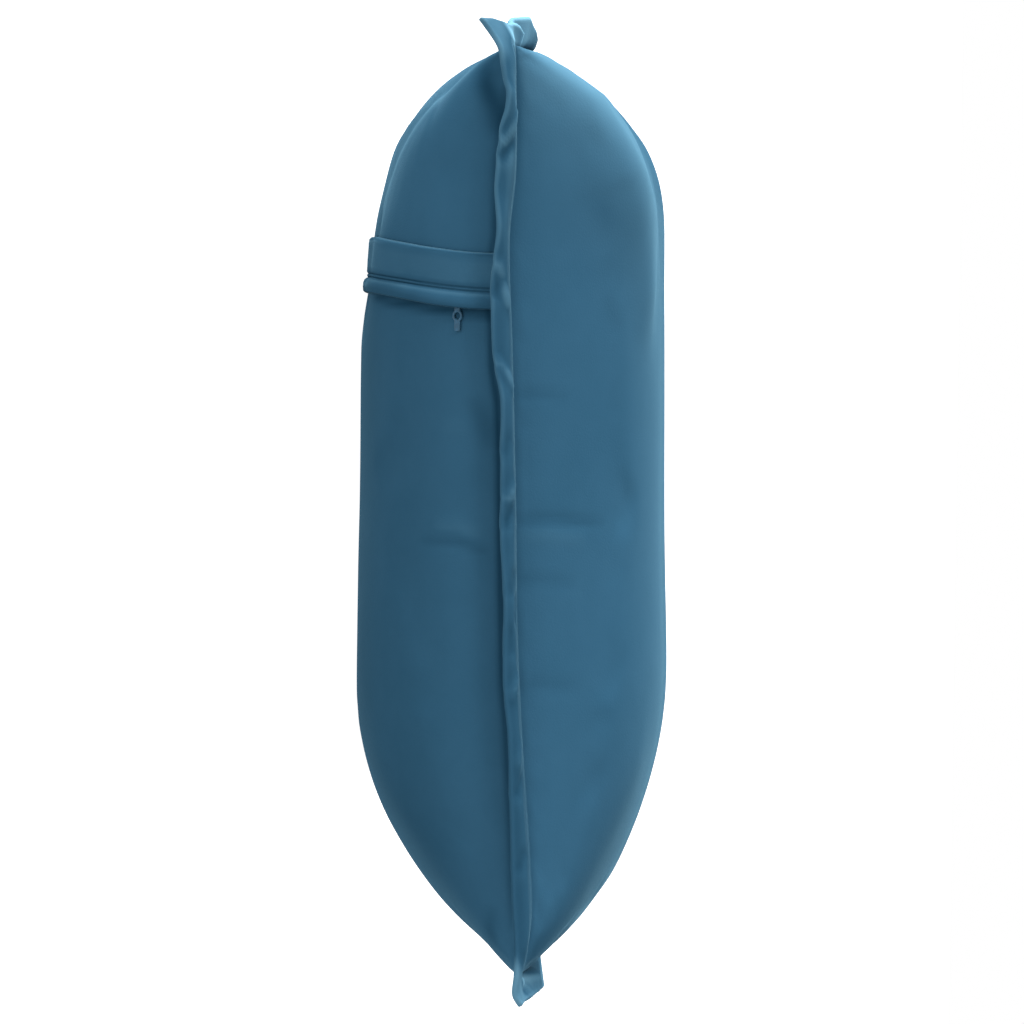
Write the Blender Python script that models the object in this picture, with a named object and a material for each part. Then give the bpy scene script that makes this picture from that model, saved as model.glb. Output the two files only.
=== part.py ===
"""Square velvet back cushion, lying on its back panel.

The filled cover is two panels closed by a stitch line. Outside that line both
panels run on as a flat flange with four pointed ears. A stitched flap covers the
zip across the back panel, and the puller of the zip hangs from under the flap.

+Z points out of the front panel, +Y to the cushion's top edge, and the origin
lies on the surface under the middle of the cushion.
"""

import math
from collections import namedtuple

import bmesh
import bpy
from mathutils import Vector

MM = 0.001

# Stitch line that closes the panels, seen from the front
SEAM_HALF_WIDTH = 200 * MM
SEAM_TOP = 197 * MM
SEAM_BOTTOM = -198.5 * MM
SIDE_DRAW_IN = 7 * MM
TOP_DRAW_IN = 4 * MM
BOTTOM_DRAW_IN = 5 * MM
SEAM_THICKNESS = 3 * MM

# How far from each edge the filling reaches its full height, and how blunt the edge is
SIDE_REACH = 130 * MM
SIDE_BLUNTNESS = 0.5
TOP_REACH = {"front": 95 * MM, "back": 130 * MM}
TOP_BLUNTNESS = {"front": 0.43, "back": 0.52}
BOTTOM_REACH = 125 * MM
BOTTOM_BLUNTNESS = 0.73

# Mesh of the filled cover
CELLS_ACROSS = 40
CELLS_ALONG = 50

# Faces that meet at more than this angle keep a crisp edge
SHARP_ANGLE = math.radians(50)

# Gap between pieces that touch
CLEARANCE = 0.3 * MM

# Height of the stitch line above the surface, along the near and the far side
Seam = namedtuple("Seam", "along near far")
SEAM_ROWS = [
    Seam(-198, 73.6, 73.2),
    Seam(-177, 77.8, 73.2),
    Seam(-152, 77.2, 71.2),
    Seam(-100, 73.1, 69.7),
    Seam(-50, 70.2, 67.2),
    Seam(4, 68.8, 66.2),
    Seam(68, 66.5, 63.7),
    Seam(114, 64.6, 62.2),
    Seam(145, 67.0, 61.2),
    Seam(198, 66.1, 60.2),
]

# Depth of the filling behind and in front of the stitch line, along the middle
Crown = namedtuple("Crown", "along back front")
CROWN_ROWS = [
    Crown(-198, 78.9, 54.1),
    Crown(-157, 74.3, 56.1),
    Crown(-127, 74.1, 58.3),
    Crown(-97, 72.5, 60.3),
    Crown(-57, 70.7, 62.3),
    Crown(-2, 68.3, 62.0),
    Crown(58, 66.5, 63.4),
    Crown(74, 65.8, 63.8),
    Crown(84, 64.4, 64.1),
    Crown(97, 63.3, 64.4),
    Crown(108, 63.9, 64.8),
    Crown(138, 67.5, 67.4),
    Crown(163, 73.0, 67.9),
    Crown(198, 76.0, 63.5),
]

# Soft ridges (height above 0) and valleys (below 0) that run in from the corners
Fold = namedtuple("Fold", "start_x start_y end_x end_y height half_width")
FOLD_ROWS = [
    Fold(-188, 185, -122, 95, 2.6, 16),
    Fold(-160, 192, -92, 105, -2.4, 14),
    Fold(187, 186, 126, 100, 2.2, 16),
    Fold(158, 191, 95, 98, -2.0, 15),
    Fold(-186, -186, -128, -110, 1.2, 18),
    Fold(186, -187, 120, -96, 1.8, 17),
    Fold(150, -190, 92, -118, -1.4, 15),
]
FOLD_FADE = 24 * MM

# Flange outside the stitch line
FLANGE_WIDTH = 15 * MM
FLANGE_THICKNESS = 2.6 * MM
FLANGE_CELLS = 44
FLANGE_BANDS = 3
FLANGE_CURL = 1.25
STEEPEST_LEAN = 0.8
EAR_POINTEDNESS = 12

# Ears: where the four tips lie, and how far each drops towards the back
Ear = namedtuple("Ear", "x y drop")
EARS = {
    "near_bottom": Ear(-212, -212.5, 0.5),
    "near_top": Ear(-212, 209.5, 14.0),
    "far_top": Ear(212, 212.5, -5.5),
    "far_bottom": Ear(212, -211, -2.0),
}

# Drop of the flange's free edge towards the back, between the ears of each side
Wave = namedtuple("Wave", "along drop")
FLANGE_SIDES = {
    "near": [
        Wave(-200, -0.6), Wave(-190, 2.8), Wave(-172, 5.4), Wave(-150, 5.2), Wave(-122, 4.0),
        Wave(-97, 3.3), Wave(-76, 4.3), Wave(-40, 3.1), Wave(-12, 4.4), Wave(28, 3.6),
        Wave(47, 3.4), Wave(64, 6.2), Wave(98, 5.8), Wave(119, 3.1), Wave(138, 5.6),
        Wave(160, 5.2), Wave(177, 1.2), Wave(188, 3.0), Wave(197, 5.5),
    ],
    "top": [
        Wave(-200, 5.0), Wave(-188, -0.8), Wave(-168, -5.2), Wave(-142, -4.6), Wave(-100, 0.5),
        Wave(-50, 3.8), Wave(-5, 2.4), Wave(40, 4.4), Wave(90, 1.8), Wave(140, 3.6),
        Wave(172, 1.0), Wave(198, -3.4),
    ],
    "far": [
        Wave(-198, -0.5), Wave(-180, 2.2), Wave(-150, 4.6), Wave(-105, 3.2), Wave(-62, 5.2),
        Wave(-20, 3.4), Wave(22, 5.6), Wave(66, 3.8), Wave(104, 5.8), Wave(146, 4.0),
        Wave(176, 3.0), Wave(197, -1.0),
    ],
    "bottom": [
        Wave(-196, -1.0), Wave(-178, -3.8), Wave(-158, -4.2), Wave(-125, -0.8), Wave(-80, 2.2),
        Wave(-36, 0.6), Wave(12, 3.2), Wave(60, 1.0), Wave(108, 2.8), Wave(152, 0.4),
        Wave(184, -1.6), Wave(198, -2.2),
    ],
}

# Flap over the zip: where its rows lie on the back panel, at the middle and at the
# side seams, and how far its outer and inner face stand off the panel
FlapRow = namedtuple("FlapRow", "middle side outer inner")
FLAP_ROWS = [
    FlapRow(116.0, 110.8, 1.2, 0.4),
    FlapRow(115.2, 110.0, 1.9, 0.4),
    FlapRow(109.0, 103.8, 1.9, 0.4),
    FlapRow(102.6, 97.0, 1.8, 0.4),
    FlapRow(101.6, 95.7, 1.2, 0.4),
    FlapRow(100.4, 94.4, 2.0, 0.4),
    FlapRow(95.0, 86.8, 2.1, 0.4),
    FlapRow(94.2, 85.9, 1.5, 0.4),
]
FLAP_SAG_POWER = 2.5
FLAP_END = 7.5 * MM
LIP_FIRST_ROW = 5
LIP_LIFT = 1.6 * MM
LIP_LIFT_START = 0.55
LIP_LIFT_END = 0.88

# Puller of the zip: a flat plate with a hole in its wide end
PULLER_ACROSS = -0.957
PULLER_HEAD = 90.5 * MM
PULLER_LENGTH = 16.5 * MM
PULLER_THICKNESS = 1.1 * MM
PULLER_EYE_CENTRE = 5.2 * MM
PULLER_EYE_LENGTH = 5.0 * MM
PULLER_EYE_WIDTH = 3.6 * MM
PULLER_EYE_STEPS = 16
PULLER_BEVEL = 0.25 * MM
Width = namedtuple("Width", "along half_width")
PULLER_WIDTHS = [
    Width(0.0, 1.2),
    Width(0.8, 2.4),
    Width(2.4, 3.3),
    Width(5.2, 3.4),
    Width(8.0, 2.7),
    Width(9.8, 2.1),
    Width(14.8, 2.1),
    Width(16.0, 1.6),
    Width(16.5, 0.8),
]

# Finishes
VELVET_BLUE = (0.042, 0.125, 0.212, 1.0)
VELVET_BLUE_WORN = (0.050, 0.140, 0.230, 1.0)
PULLER_BLUE = (0.022, 0.070, 0.125, 1.0)
VELVET_ROUGHNESS = 0.9
PULLER_ROUGHNESS = 0.45


# Helpers
def clear_objects():
    """Remove every object of the open file."""
    for thing in list(bpy.data.objects):
        bpy.data.objects.remove(thing, do_unlink=True)


def finish(name, colour, roughness):
    """Make a material with one colour and roughness."""
    material = bpy.data.materials.new(name)
    material.use_nodes = True
    shader = material.node_tree.nodes["Principled BSDF"]
    shader.inputs["Base Color"].default_value = colour
    shader.inputs["Roughness"].default_value = roughness
    shader.inputs["Metallic"].default_value = 0.0
    return material


def add_solid(name, mesh_data, material):
    """Turn a bmesh into a named object, faces pointing out, shaded smooth."""
    bmesh.ops.recalc_face_normals(mesh_data, faces=mesh_data.faces)
    mesh = bpy.data.meshes.new(name)
    mesh_data.to_mesh(mesh)
    mesh_data.free()
    mesh.materials.append(material)
    mesh.shade_smooth()
    mesh.set_sharp_from_angle(angle=SHARP_ANGLE)
    solid = bpy.data.objects.new(name, mesh)
    bpy.context.scene.collection.objects.link(solid)
    return solid


def smooth_row(rows, column, along):
    """Read a table column between its rows, on a smooth curve; `along` is in metres."""
    places = [row.along * MM for row in rows]
    values = [getattr(row, column) * MM for row in rows]
    if along <= places[0]:
        return values[0]
    if along >= places[-1]:
        return values[-1]
    index = max(i for i, place in enumerate(places) if place <= along)
    slopes = []
    for i in (index, index + 1):
        low = max(i - 1, 0)
        high = min(i + 1, len(rows) - 1)
        slopes.append((values[high] - values[low]) / (places[high] - places[low]))
    span = places[index + 1] - places[index]
    t = (along - places[index]) / span
    start = values[index] * (1 + 2 * t) * (1 - t) ** 2 + slopes[0] * span * t * (1 - t) ** 2
    end = values[index + 1] * t * t * (3 - 2 * t) - slopes[1] * span * t * t * (1 - t)
    return start + end


def ease(start, end, value):
    """Go smoothly from 0 at `start` to 1 at `end`."""
    t = min(max((value - start) / (end - start), 0.0), 1.0)
    return t * t * (3 - 2 * t)


def edge_steps(cells):
    """Places from -1 to 1 that crowd together at both ends, where the cover is steep."""
    return [math.sin(math.pi * (i / cells - 0.5)) for i in range(cells + 1)]


# Shape of the filled cover
def plan_point(across, along):
    """Place in plan of a point given by -1 to 1 from seam to seam each way."""
    half_width = SEAM_HALF_WIDTH - SIDE_DRAW_IN * (1 - along * along)
    top = SEAM_TOP - TOP_DRAW_IN * (1 - across * across)
    bottom = SEAM_BOTTOM + BOTTOM_DRAW_IN * (1 - across * across)
    return across * half_width, bottom + (top - bottom) * (along + 1) / 2


def seam_height(across, y):
    """Height of the sheet that the stitch line spans; it tilts only near the sides."""
    near = smooth_row(SEAM_ROWS, "near", y)
    far = smooth_row(SEAM_ROWS, "far", y)
    return (near + far) / 2 + (far - near) / 2 * across ** 3


def swell(distance, reach, bluntness):
    """Share of the full depth of filling at a distance from a seam."""
    left = 1 - min(max(distance, 0.0) / reach, 1.0)
    return (1 - left * left) ** bluntness


def fold_height(x, y):
    """Sum of the ridges and valleys at a place in plan."""
    place = Vector((x, y))
    total = 0.0
    for fold in FOLD_ROWS:
        start = Vector((fold.start_x, fold.start_y)) * MM
        run = Vector((fold.end_x, fold.end_y)) * MM - start
        t = (place - start).dot(run) / run.length_squared
        nearest = start + run * min(max(t, 0.0), 1.0)
        offset = (place - nearest).length / (fold.half_width * MM)
        total += fold.height * MM * math.exp(-offset * offset)
    return total


def panel_point(across, along, face):
    """Point of the front or back panel."""
    x, y = plan_point(across, along)
    _, top = plan_point(across, 1)
    _, bottom = plan_point(across, -1)
    side = swell((1 - abs(across)) * SEAM_HALF_WIDTH, SIDE_REACH, SIDE_BLUNTNESS)
    upper = swell(top - y, TOP_REACH[face], TOP_BLUNTNESS[face])
    lower = swell(y - bottom, BOTTOM_REACH, BOTTOM_BLUNTNESS)
    rim = SEAM_THICKNESS / 2
    depth = (smooth_row(CROWN_ROWS, face, y) - rim) * side * upper * lower
    depth += fold_height(x, y) * min(depth / FOLD_FADE, 1.0)
    middle = seam_height(across, y)
    if face == "front":
        return Vector((x, y, middle + rim + depth))
    return Vector((x, y, max(middle - rim - depth, 0.0)))


def panel_normal(across, along):
    """Direction out of the back panel."""
    step = 0.002
    a = panel_point(across + step, along, "back") - panel_point(across - step, along, "back")
    b = panel_point(across, along + step, "back") - panel_point(across, along - step, "back")
    return b.cross(a).normalized()


def build_cushion(material):
    """The filled cover, one solid: front panel, back panel and the thin seam between."""
    mesh_data = bmesh.new()
    steps_across = edge_steps(CELLS_ACROSS)
    steps_along = edge_steps(CELLS_ALONG)
    panels = {}
    for face in ("front", "back"):
        panels[face] = [
            [mesh_data.verts.new(panel_point(a, b, face)) for a in steps_across]
            for b in steps_along
        ]
        rows = panels[face]
        for lower, upper in zip(rows, rows[1:]):
            for i in range(CELLS_ACROSS):
                mesh_data.faces.new((lower[i], lower[i + 1], upper[i + 1], upper[i]))
    rims = {face: rim_loop(rows) for face, rows in panels.items()}
    count = len(rims["front"])
    for i in range(count):
        j = (i + 1) % count
        mesh_data.faces.new((rims["front"][i], rims["front"][j], rims["back"][j], rims["back"][i]))
    return add_solid("cushion", mesh_data, material)


def rim_loop(rows):
    """The outermost points of a grid, in order round it."""
    bottom = rows[0]
    right = [row[-1] for row in rows[1:]]
    top = list(reversed(rows[-1][:-1]))
    left = [row[0] for row in reversed(rows[1:-1])]
    return bottom + right + top + left


# Flange
def side_ends(side):
    """First and last ear of a side, in the direction in which its table runs."""
    ends = {
        "near": ("near_bottom", "near_top"),
        "top": ("near_top", "far_top"),
        "far": ("far_bottom", "far_top"),
        "bottom": ("near_bottom", "far_bottom"),
    }
    return [EARS[name] for name in ends[side]]


def flange_drop(side, along):
    """Drop of the free edge at a place along a side, ears included."""
    first, last = side_ends(side)
    upright = side in ("near", "far")
    start = first.y if upright else first.x
    end = last.y if upright else last.x
    rows = [Wave(start, first.drop)] + FLANGE_SIDES[side] + [Wave(end, last.drop)]
    return smooth_row(rows, "drop", along)


def flange_station(side, share):
    """Root and free edge of the flange at a share (0 to 1) of a side, and its drop."""
    step = math.sin(math.pi * (share - 0.5))
    outward = -1 if side in ("near", "bottom") else 1
    upright = side in ("near", "far")
    run, away = (1, 0) if upright else (0, 1)
    across, along = (outward, step) if upright else (step, outward)
    x, y = plan_point(across, along)
    root = Vector((x, y, seam_height(across, y)))
    root[run] *= 1 + CLEARANCE / SEAM_HALF_WIDTH
    root[away] += outward * CLEARANCE
    first, last = [Vector((ear.x, ear.y)) * MM for ear in side_ends(side)]
    tip_line = first.lerp(last, (step + 1) / 2)
    drop = flange_drop(side, tip_line[run])
    reach = math.sqrt(FLANGE_WIDTH ** 2 - min(abs(drop), FLANGE_WIDTH * STEEPEST_LEAN) ** 2)
    tip_share = abs(step) ** EAR_POINTEDNESS
    free = root.copy()
    free[run] = tip_line[run]
    free[away] += outward * reach
    free[away] += (tip_line[away] - free[away]) * tip_share
    free.z -= drop
    return root, free, drop


def flange_stations():
    """All stations in order round the cushion, each corner once."""
    stations = []
    for side, forward in (("near", True), ("top", True), ("far", False), ("bottom", False)):
        for i in range(FLANGE_CELLS):
            share = i / FLANGE_CELLS
            stations.append(flange_station(side, share if forward else 1 - share))
    return stations


def build_flange(material):
    """The doubled margin of both panels: one closed band round the stitch line."""
    mesh_data = bmesh.new()
    rings = []
    for root, free, drop in flange_stations():
        lean = math.asin(min(abs(drop) / FLANGE_WIDTH, STEEPEST_LEAN))
        half = FLANGE_THICKNESS / 2 / math.cos(lean)
        section = []
        for i in range(FLANGE_BANDS + 1):
            t = i / FLANGE_BANDS
            point = root.lerp(free, t)
            point.z = root.z - drop * t ** FLANGE_CURL
            section.append(point)
        upper = [mesh_data.verts.new(point + Vector((0, 0, half))) for point in section]
        lower = [mesh_data.verts.new(point - Vector((0, 0, half))) for point in section]
        rings.append(upper + lower[::-1])
    size = len(rings[0])
    for k, ring in enumerate(rings):
        following = rings[(k + 1) % len(rings)]
        for i in range(size):
            j = (i + 1) % size
            mesh_data.faces.new((ring[i], ring[j], following[j], following[i]))
    return add_solid("flange", mesh_data, material)


# Flap over the zip
def along_for_height(across, y):
    """Share along the panel at which it reaches a height y in plan."""
    _, top = plan_point(across, 1)
    _, bottom = plan_point(across, -1)
    return (y - bottom) / (top - bottom) * 2 - 1


def panel_offset(across, y, offset):
    """Point that stands off the back panel at a place across it and a plan height y."""
    along = along_for_height(across, y)
    return panel_point(across, along, "back") + panel_normal(across, along) * offset


def flap_row_point(row_number, across, outside):
    """Point of the flap's outer or inner face on one of its rows."""
    row = FLAP_ROWS[row_number]
    y = (row.middle + (row.side - row.middle) * abs(across) ** FLAP_SAG_POWER) * MM
    offset = (row.outer if outside else row.inner) * MM
    if row_number >= LIP_FIRST_ROW:
        offset += LIP_LIFT * ease(LIP_LIFT_START, LIP_LIFT_END, abs(across))
    return panel_offset(across, y, offset)


def flap_end_share():
    """How far across the panel the flap reaches: it stops short of the stitch line."""
    share = 1.0
    middle = FLAP_ROWS[len(FLAP_ROWS) // 2].side * MM
    while True:
        point = panel_point(-share, along_for_height(-share, middle), "back")
        if seam_height(-share, middle) - point.z >= FLAP_END:
            return share
        share -= 0.0005


def build_zip_flap(material):
    """The folded flap: an upper fold, a band, a sewn groove and a free lip."""
    mesh_data = bmesh.new()
    end = flap_end_share()
    inside = [step for step in edge_steps(CELLS_ACROSS) if abs(step) < end - 0.002]
    rings = []
    for across in [-end] + inside + [end]:
        numbers = range(len(FLAP_ROWS))
        outer = [mesh_data.verts.new(flap_row_point(n, across, True)) for n in numbers]
        inner = [mesh_data.verts.new(flap_row_point(n, across, False)) for n in numbers]
        rings.append(outer + inner[::-1])
    size = len(rings[0])
    for ring, following in zip(rings, rings[1:]):
        for i in range(size):
            j = (i + 1) % size
            mesh_data.faces.new((ring[i], ring[j], following[j], following[i]))
    for ring in (rings[0], rings[-1]):
        half = size // 2
        for i in range(half - 1):
            mesh_data.faces.new((ring[i], ring[i + 1], ring[size - 2 - i], ring[size - 1 - i]))
    return add_solid("zip_flap", mesh_data, material)


# Zip puller
def build_zip_puller(material):
    """The flat puller plate, hanging from under the lip against the back panel."""
    mesh_data = bmesh.new()
    right = [(row.half_width * MM, row.along * MM) for row in PULLER_WIDTHS]
    left = [(-x, y) for x, y in reversed(right)]
    outline = add_loop(mesh_data, right + left)
    eye = []
    for i in range(PULLER_EYE_STEPS):
        angle = 2 * math.pi * i / PULLER_EYE_STEPS
        x = PULLER_EYE_WIDTH / 2 * math.cos(angle)
        y = PULLER_EYE_CENTRE + PULLER_EYE_LENGTH / 2 * math.sin(angle)
        eye.append((x, y))
    hole = add_loop(mesh_data, eye)
    bmesh.ops.triangle_fill(mesh_data, edges=outline + hole, use_beauty=True)
    extruded = bmesh.ops.extrude_face_region(mesh_data, geom=mesh_data.faces[:])
    moved = [part for part in extruded["geom"] if isinstance(part, bmesh.types.BMVert)]
    bmesh.ops.translate(mesh_data, verts=moved, vec=(0, 0, PULLER_THICKNESS))

    middle_y = PULLER_HEAD - PULLER_LENGTH / 2
    along = along_for_height(PULLER_ACROSS, middle_y)
    outward = panel_normal(PULLER_ACROSS, along)
    seat = panel_offset(PULLER_ACROSS, middle_y, CLEARANCE)
    down = Vector((0, -1, 0))
    down = (down - outward * down.dot(outward)).normalized()
    sideways = down.cross(outward)
    for vertex in mesh_data.verts:
        local = vertex.co.copy()
        vertex.co = seat + sideways * local.x + down * (local.y - PULLER_LENGTH / 2)
        vertex.co += outward * local.z
    solid = add_solid("zip_puller", mesh_data, material)
    bevel = solid.modifiers.new("worn edges", "BEVEL")
    bevel.width = PULLER_BEVEL
    bevel.segments = 1
    bevel.limit_method = "ANGLE"
    return solid


def add_loop(mesh_data, points):
    """Add a closed loop of edges through flat points."""
    verts = [mesh_data.verts.new((x, y, 0)) for x, y in points]
    return [mesh_data.edges.new((a, b)) for a, b in zip(verts, verts[1:] + verts[:1])]


def centre_in_plan(solids):
    """Shift all pieces together so that the origin lies under the middle of their box."""
    points = [vertex.co for solid in solids for vertex in solid.data.vertices]
    shift = Vector((0, 0, 0))
    for axis in (0, 1):
        values = [point[axis] for point in points]
        shift[axis] = -(min(values) + max(values)) / 2
    for solid in solids:
        for vertex in solid.data.vertices:
            vertex.co += shift


def main():
    clear_objects()
    velvet = finish("velvet", VELVET_BLUE, VELVET_ROUGHNESS)
    flange_velvet = finish("flange velvet", VELVET_BLUE_WORN, VELVET_ROUGHNESS)
    flap_velvet = finish("flap velvet", VELVET_BLUE, VELVET_ROUGHNESS)
    enamel = finish("puller enamel", PULLER_BLUE, PULLER_ROUGHNESS)
    solids = [
        build_cushion(velvet),
        build_flange(flange_velvet),
        build_zip_flap(flap_velvet),
        build_zip_puller(enamel),
    ]
    centre_in_plan(solids)


main()
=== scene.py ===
"""Square velvet back cushion with a flange, four ears and a covered zip.

Every piece is made over the solid that carries it and in the same frame: +Z points
out of the front panel, +Y to the cushion's top edge, and the cushion lies on its back
panel. Numbers in the tables are in millimetres, as on a maker's pattern.
"""

import math
from collections import namedtuple

import bpy
import numpy as np
from bpy.props import FloatProperty, FloatVectorProperty, IntProperty, PointerProperty
from mathutils import Matrix, Vector
from mathutils.bvhtree import BVHTree


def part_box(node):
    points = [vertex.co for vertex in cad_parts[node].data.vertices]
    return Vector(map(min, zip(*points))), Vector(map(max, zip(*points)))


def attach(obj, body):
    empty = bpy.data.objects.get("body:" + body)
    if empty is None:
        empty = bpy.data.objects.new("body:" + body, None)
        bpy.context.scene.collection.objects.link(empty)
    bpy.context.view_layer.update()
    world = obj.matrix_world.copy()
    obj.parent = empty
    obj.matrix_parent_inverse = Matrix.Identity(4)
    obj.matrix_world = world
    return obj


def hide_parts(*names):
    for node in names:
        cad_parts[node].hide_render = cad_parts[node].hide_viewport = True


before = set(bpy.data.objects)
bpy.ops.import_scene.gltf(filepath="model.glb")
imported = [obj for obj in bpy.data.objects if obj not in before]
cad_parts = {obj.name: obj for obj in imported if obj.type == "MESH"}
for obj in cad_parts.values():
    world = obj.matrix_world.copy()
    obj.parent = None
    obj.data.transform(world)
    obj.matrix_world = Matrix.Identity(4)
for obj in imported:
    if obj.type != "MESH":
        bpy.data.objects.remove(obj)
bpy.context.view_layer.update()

bl_info = {
    "name": "Velvet back cushion",
    "version": (1, 0, 0),
    "blender": (4, 5, 0),
    "location": "3D View > Sidebar > Cushion",
    "description": "Builds a filled velvet back cushion with a flange and a covered zip",
    "category": "Add Mesh",
}

MM = 0.001

# Stitch line that closes the two panels, seen from the front: how far the middle of each
# side is drawn in between its corners, and the thickness of the seam
SEAM_HALF_WIDTH = 200.0
SEAM_TOP = 197.0
SEAM_BOTTOM = -198.5
SIDE_DRAW_IN = 7.0
TOP_DRAW_IN = 4.0
BOTTOM_DRAW_IN = 5.0
SEAM_THICKNESS = 3.0

# Places along the near and the far side, and the stitch line's height above the surface there
SEAM_PLACES = (-198, -177, -152, -100, -50, 4, 68, 114, 145, 198)
NEAR_HEIGHTS = (73.6, 77.8, 77.2, 73.1, 70.2, 68.8, 66.5, 64.6, 67.0, 66.1)
FAR_HEIGHTS = (73.2, 73.2, 71.2, 69.7, 67.2, 66.2, 63.7, 62.2, 61.2, 60.2)

# Tips of the four ears, and how far each drops towards the back
Ear = namedtuple("Ear", "x y drop")
EARS = {
    "near_bottom": Ear(-211, -211.0, -1.4),
    "near_top": Ear(-211, 207.6, 13.2),
    "far_top": Ear(211, 209.2, -6.0),
    "far_bottom": Ear(211, -211.4, -2.6),
}

# Sides of the flange in the order of its ring: the ears at their ends, the axes along them
# and out from them, the sign of their outward direction and of the way that the ring runs
Side = namedtuple("Side", "first last run away outward way")
SIDES = {
    "near": Side("near_bottom", "near_top", 1, 0, -1.0, 1.0),
    "top": Side("near_top", "far_top", 0, 1, 1.0, 1.0),
    "far": Side("far_bottom", "far_top", 1, 0, 1.0, -1.0),
    "bottom": Side("near_bottom", "far_bottom", 0, 1, -1.0, -1.0),
}

# The flange's free edge between the ears of each side: how far it drops towards the
# back and how far it is drawn in towards the stitch line
Wave = namedtuple("Wave", "along drop drawn", defaults=(0.0,))
FREE_EDGES = {
    "near": [
        (-207, 1.6), (-200, 2.7), (-190, 4.4), (-172, 5.6), (-150, 5.2), (-122, 4.0),
        (-97, 3.3), (-76, 4.3), (-40, 3.1), (-12, 4.4), (28, 3.6), (47, 3.4), (64, 6.2),
        (98, 5.8), (119, 3.1), (138, 5.6), (160, 5.2), (170, 2.6), (177, 2.0), (182.5, 3.3),
        (188, 4.2), (197, 5.9),
    ],
    "top": [
        (-205, 9.4, -0.1), (-199, 5.8, 1.8), (-195, 3.6, 3.1), (-192, 1.7, 4.4),
        (-188.5, 0.2, 4.4), (-185, -2.0, 4.5), (-182, -3.5, 5.2), (-179.5, -4.3, 6.2),
        (-177, -3.8, 7.2), (-174, -1.7, 6.5), (-171, 0.1, 4.2), (-168, 0.3, 2.4),
        (-163.5, -3.0, 1.0), (-160, -6.0, -1.1), (-157, -7.3, -2.2), (-153, -8.4, -0.3),
        (-147, -9.5, 0.8), (-140, -9.9, 2.1), (-130, -9.9, 3.1), (-112, -6.0, 1.0), (-86, 0.5),
        (-50, 3.8), (-5, 2.4), (40, 4.4), (90, 1.8), (140, 3.6), (172, 1.0), (198, -3.4),
    ],
    "far": [
        (-198, -0.5), (-180, 2.2), (-150, 4.6), (-105, 3.2), (-62, 5.2), (-20, 3.4), (22, 5.6),
        (66, 3.8), (104, 5.8), (146, 4.0), (176, 3.0), (197, -1.0),
    ],
    "bottom": [
        (-203, -2.4, 2.1), (-196, -4.4, 3.1), (-184, -6.6, 3.2), (-170, -8.2, 2.9),
        (-155, -8.2, 3.4), (-128, -3.0, 1.0), (-88, 1.8), (-36, 0.6), (12, 3.2), (60, 1.0),
        (108, 2.8), (152, 0.4), (184, -1.6), (198, -2.2),
    ],
}

# Section of the flange: places of its points from the stitch line at 0 to the free edge
# at 1, the turns of its rounded edge in degrees, the groove that the stitches pull, and
# the share of the velvet's colour that the flange keeps, a darker copy as painted shade
FLANGE_SHARES = (
    -0.05, 0.02, 0.05, 0.09, 0.13, 0.18, 0.24, 0.31, 0.38, 0.45,
    0.51, 0.57, 0.63, 0.69, 0.75, 0.81, 0.87, 0.94, 1.0,
)
EDGE_TURNS = (60, 25, -25, -60)
STITCH_OUT = 1.4
STITCH_PULL = 0.4
STITCH_SPREAD = 0.8
FLANGE_PAINTED_SHADE = 0.82

# How the flange leans at its root and curls, steepest in degrees, towards its free edge
ROOT_LEAN = 0.35
STEEPEST_CURL = 66
EASY_DROP = 3.0
CURL_REACH = 2.4
LEAST_CURL = 0.05
CURL_STEPS = 121

# How the flange runs out into its ears; the ranges are shares of the way to an ear, and
# the stations lie evenly by the first share and crowd towards the ears by the second
STATION_SHARES = (0.45, 0.55)
EAR_POINTEDNESS = 12
EAR_FLATNESS = {
    "near": (0.88, 0.96), "top": (0.79, 0.91), "far": (0.79, 0.91), "bottom": (0.79, 0.91),
}
EAR_BEND_START = 3.0
EAR_BEND_POWER = 1.5
EAR_LEAST_BEND = 0.5
EAR_BEND_REACH = (0.88, 0.96)
EAR_SOFTNESS = 9.0
EAR_SOFT_ROUNDS = 24

# Painted light on the flange, from -1 for painted shade through 0 for plain to 3 for a
# painted highlight: highlights on the ears, on the near lobes beside them and at the root,
# painted light along the sides that darkens towards the bottom, highlights on small ridges
# and shade in small dents
EAR_PALENESS = {"top": 0.62, "bottom": 0.85}
EAR_PALE_REACH = (1.0, 10.0)
LOBE_PALENESS = {"top": 2.4, "bottom": 0.75}
LOBE_ROOT_PALENESS = {"top": 3.2, "bottom": 2.2}
LOBE_ROOT_REACH = (3.0, 12.0)
LOBE_REACH = (-42.0, -24.0)
LOBE_START = (-1.0, 2.5)
LOBE_SIDE = (-201.0, -194.0)
ROOT_PALENESS = 0.6
ROOT_PALE_REACH = (2.0, 5.5)
BAND_PAINTED_LIGHT = [(-200, -0.36), (-60, -0.22), (60, -0.08), (150, 0.15), (200, 0.05)]
RELIEF_LIGHT_STRENGTH = 0.5
RELIEF_LIGHT_SCALE = 0.5
RELIEF_LIGHT_ROUNDS = 8
RELIEF_LIGHT_BROAD_ROUNDS = 64

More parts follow.
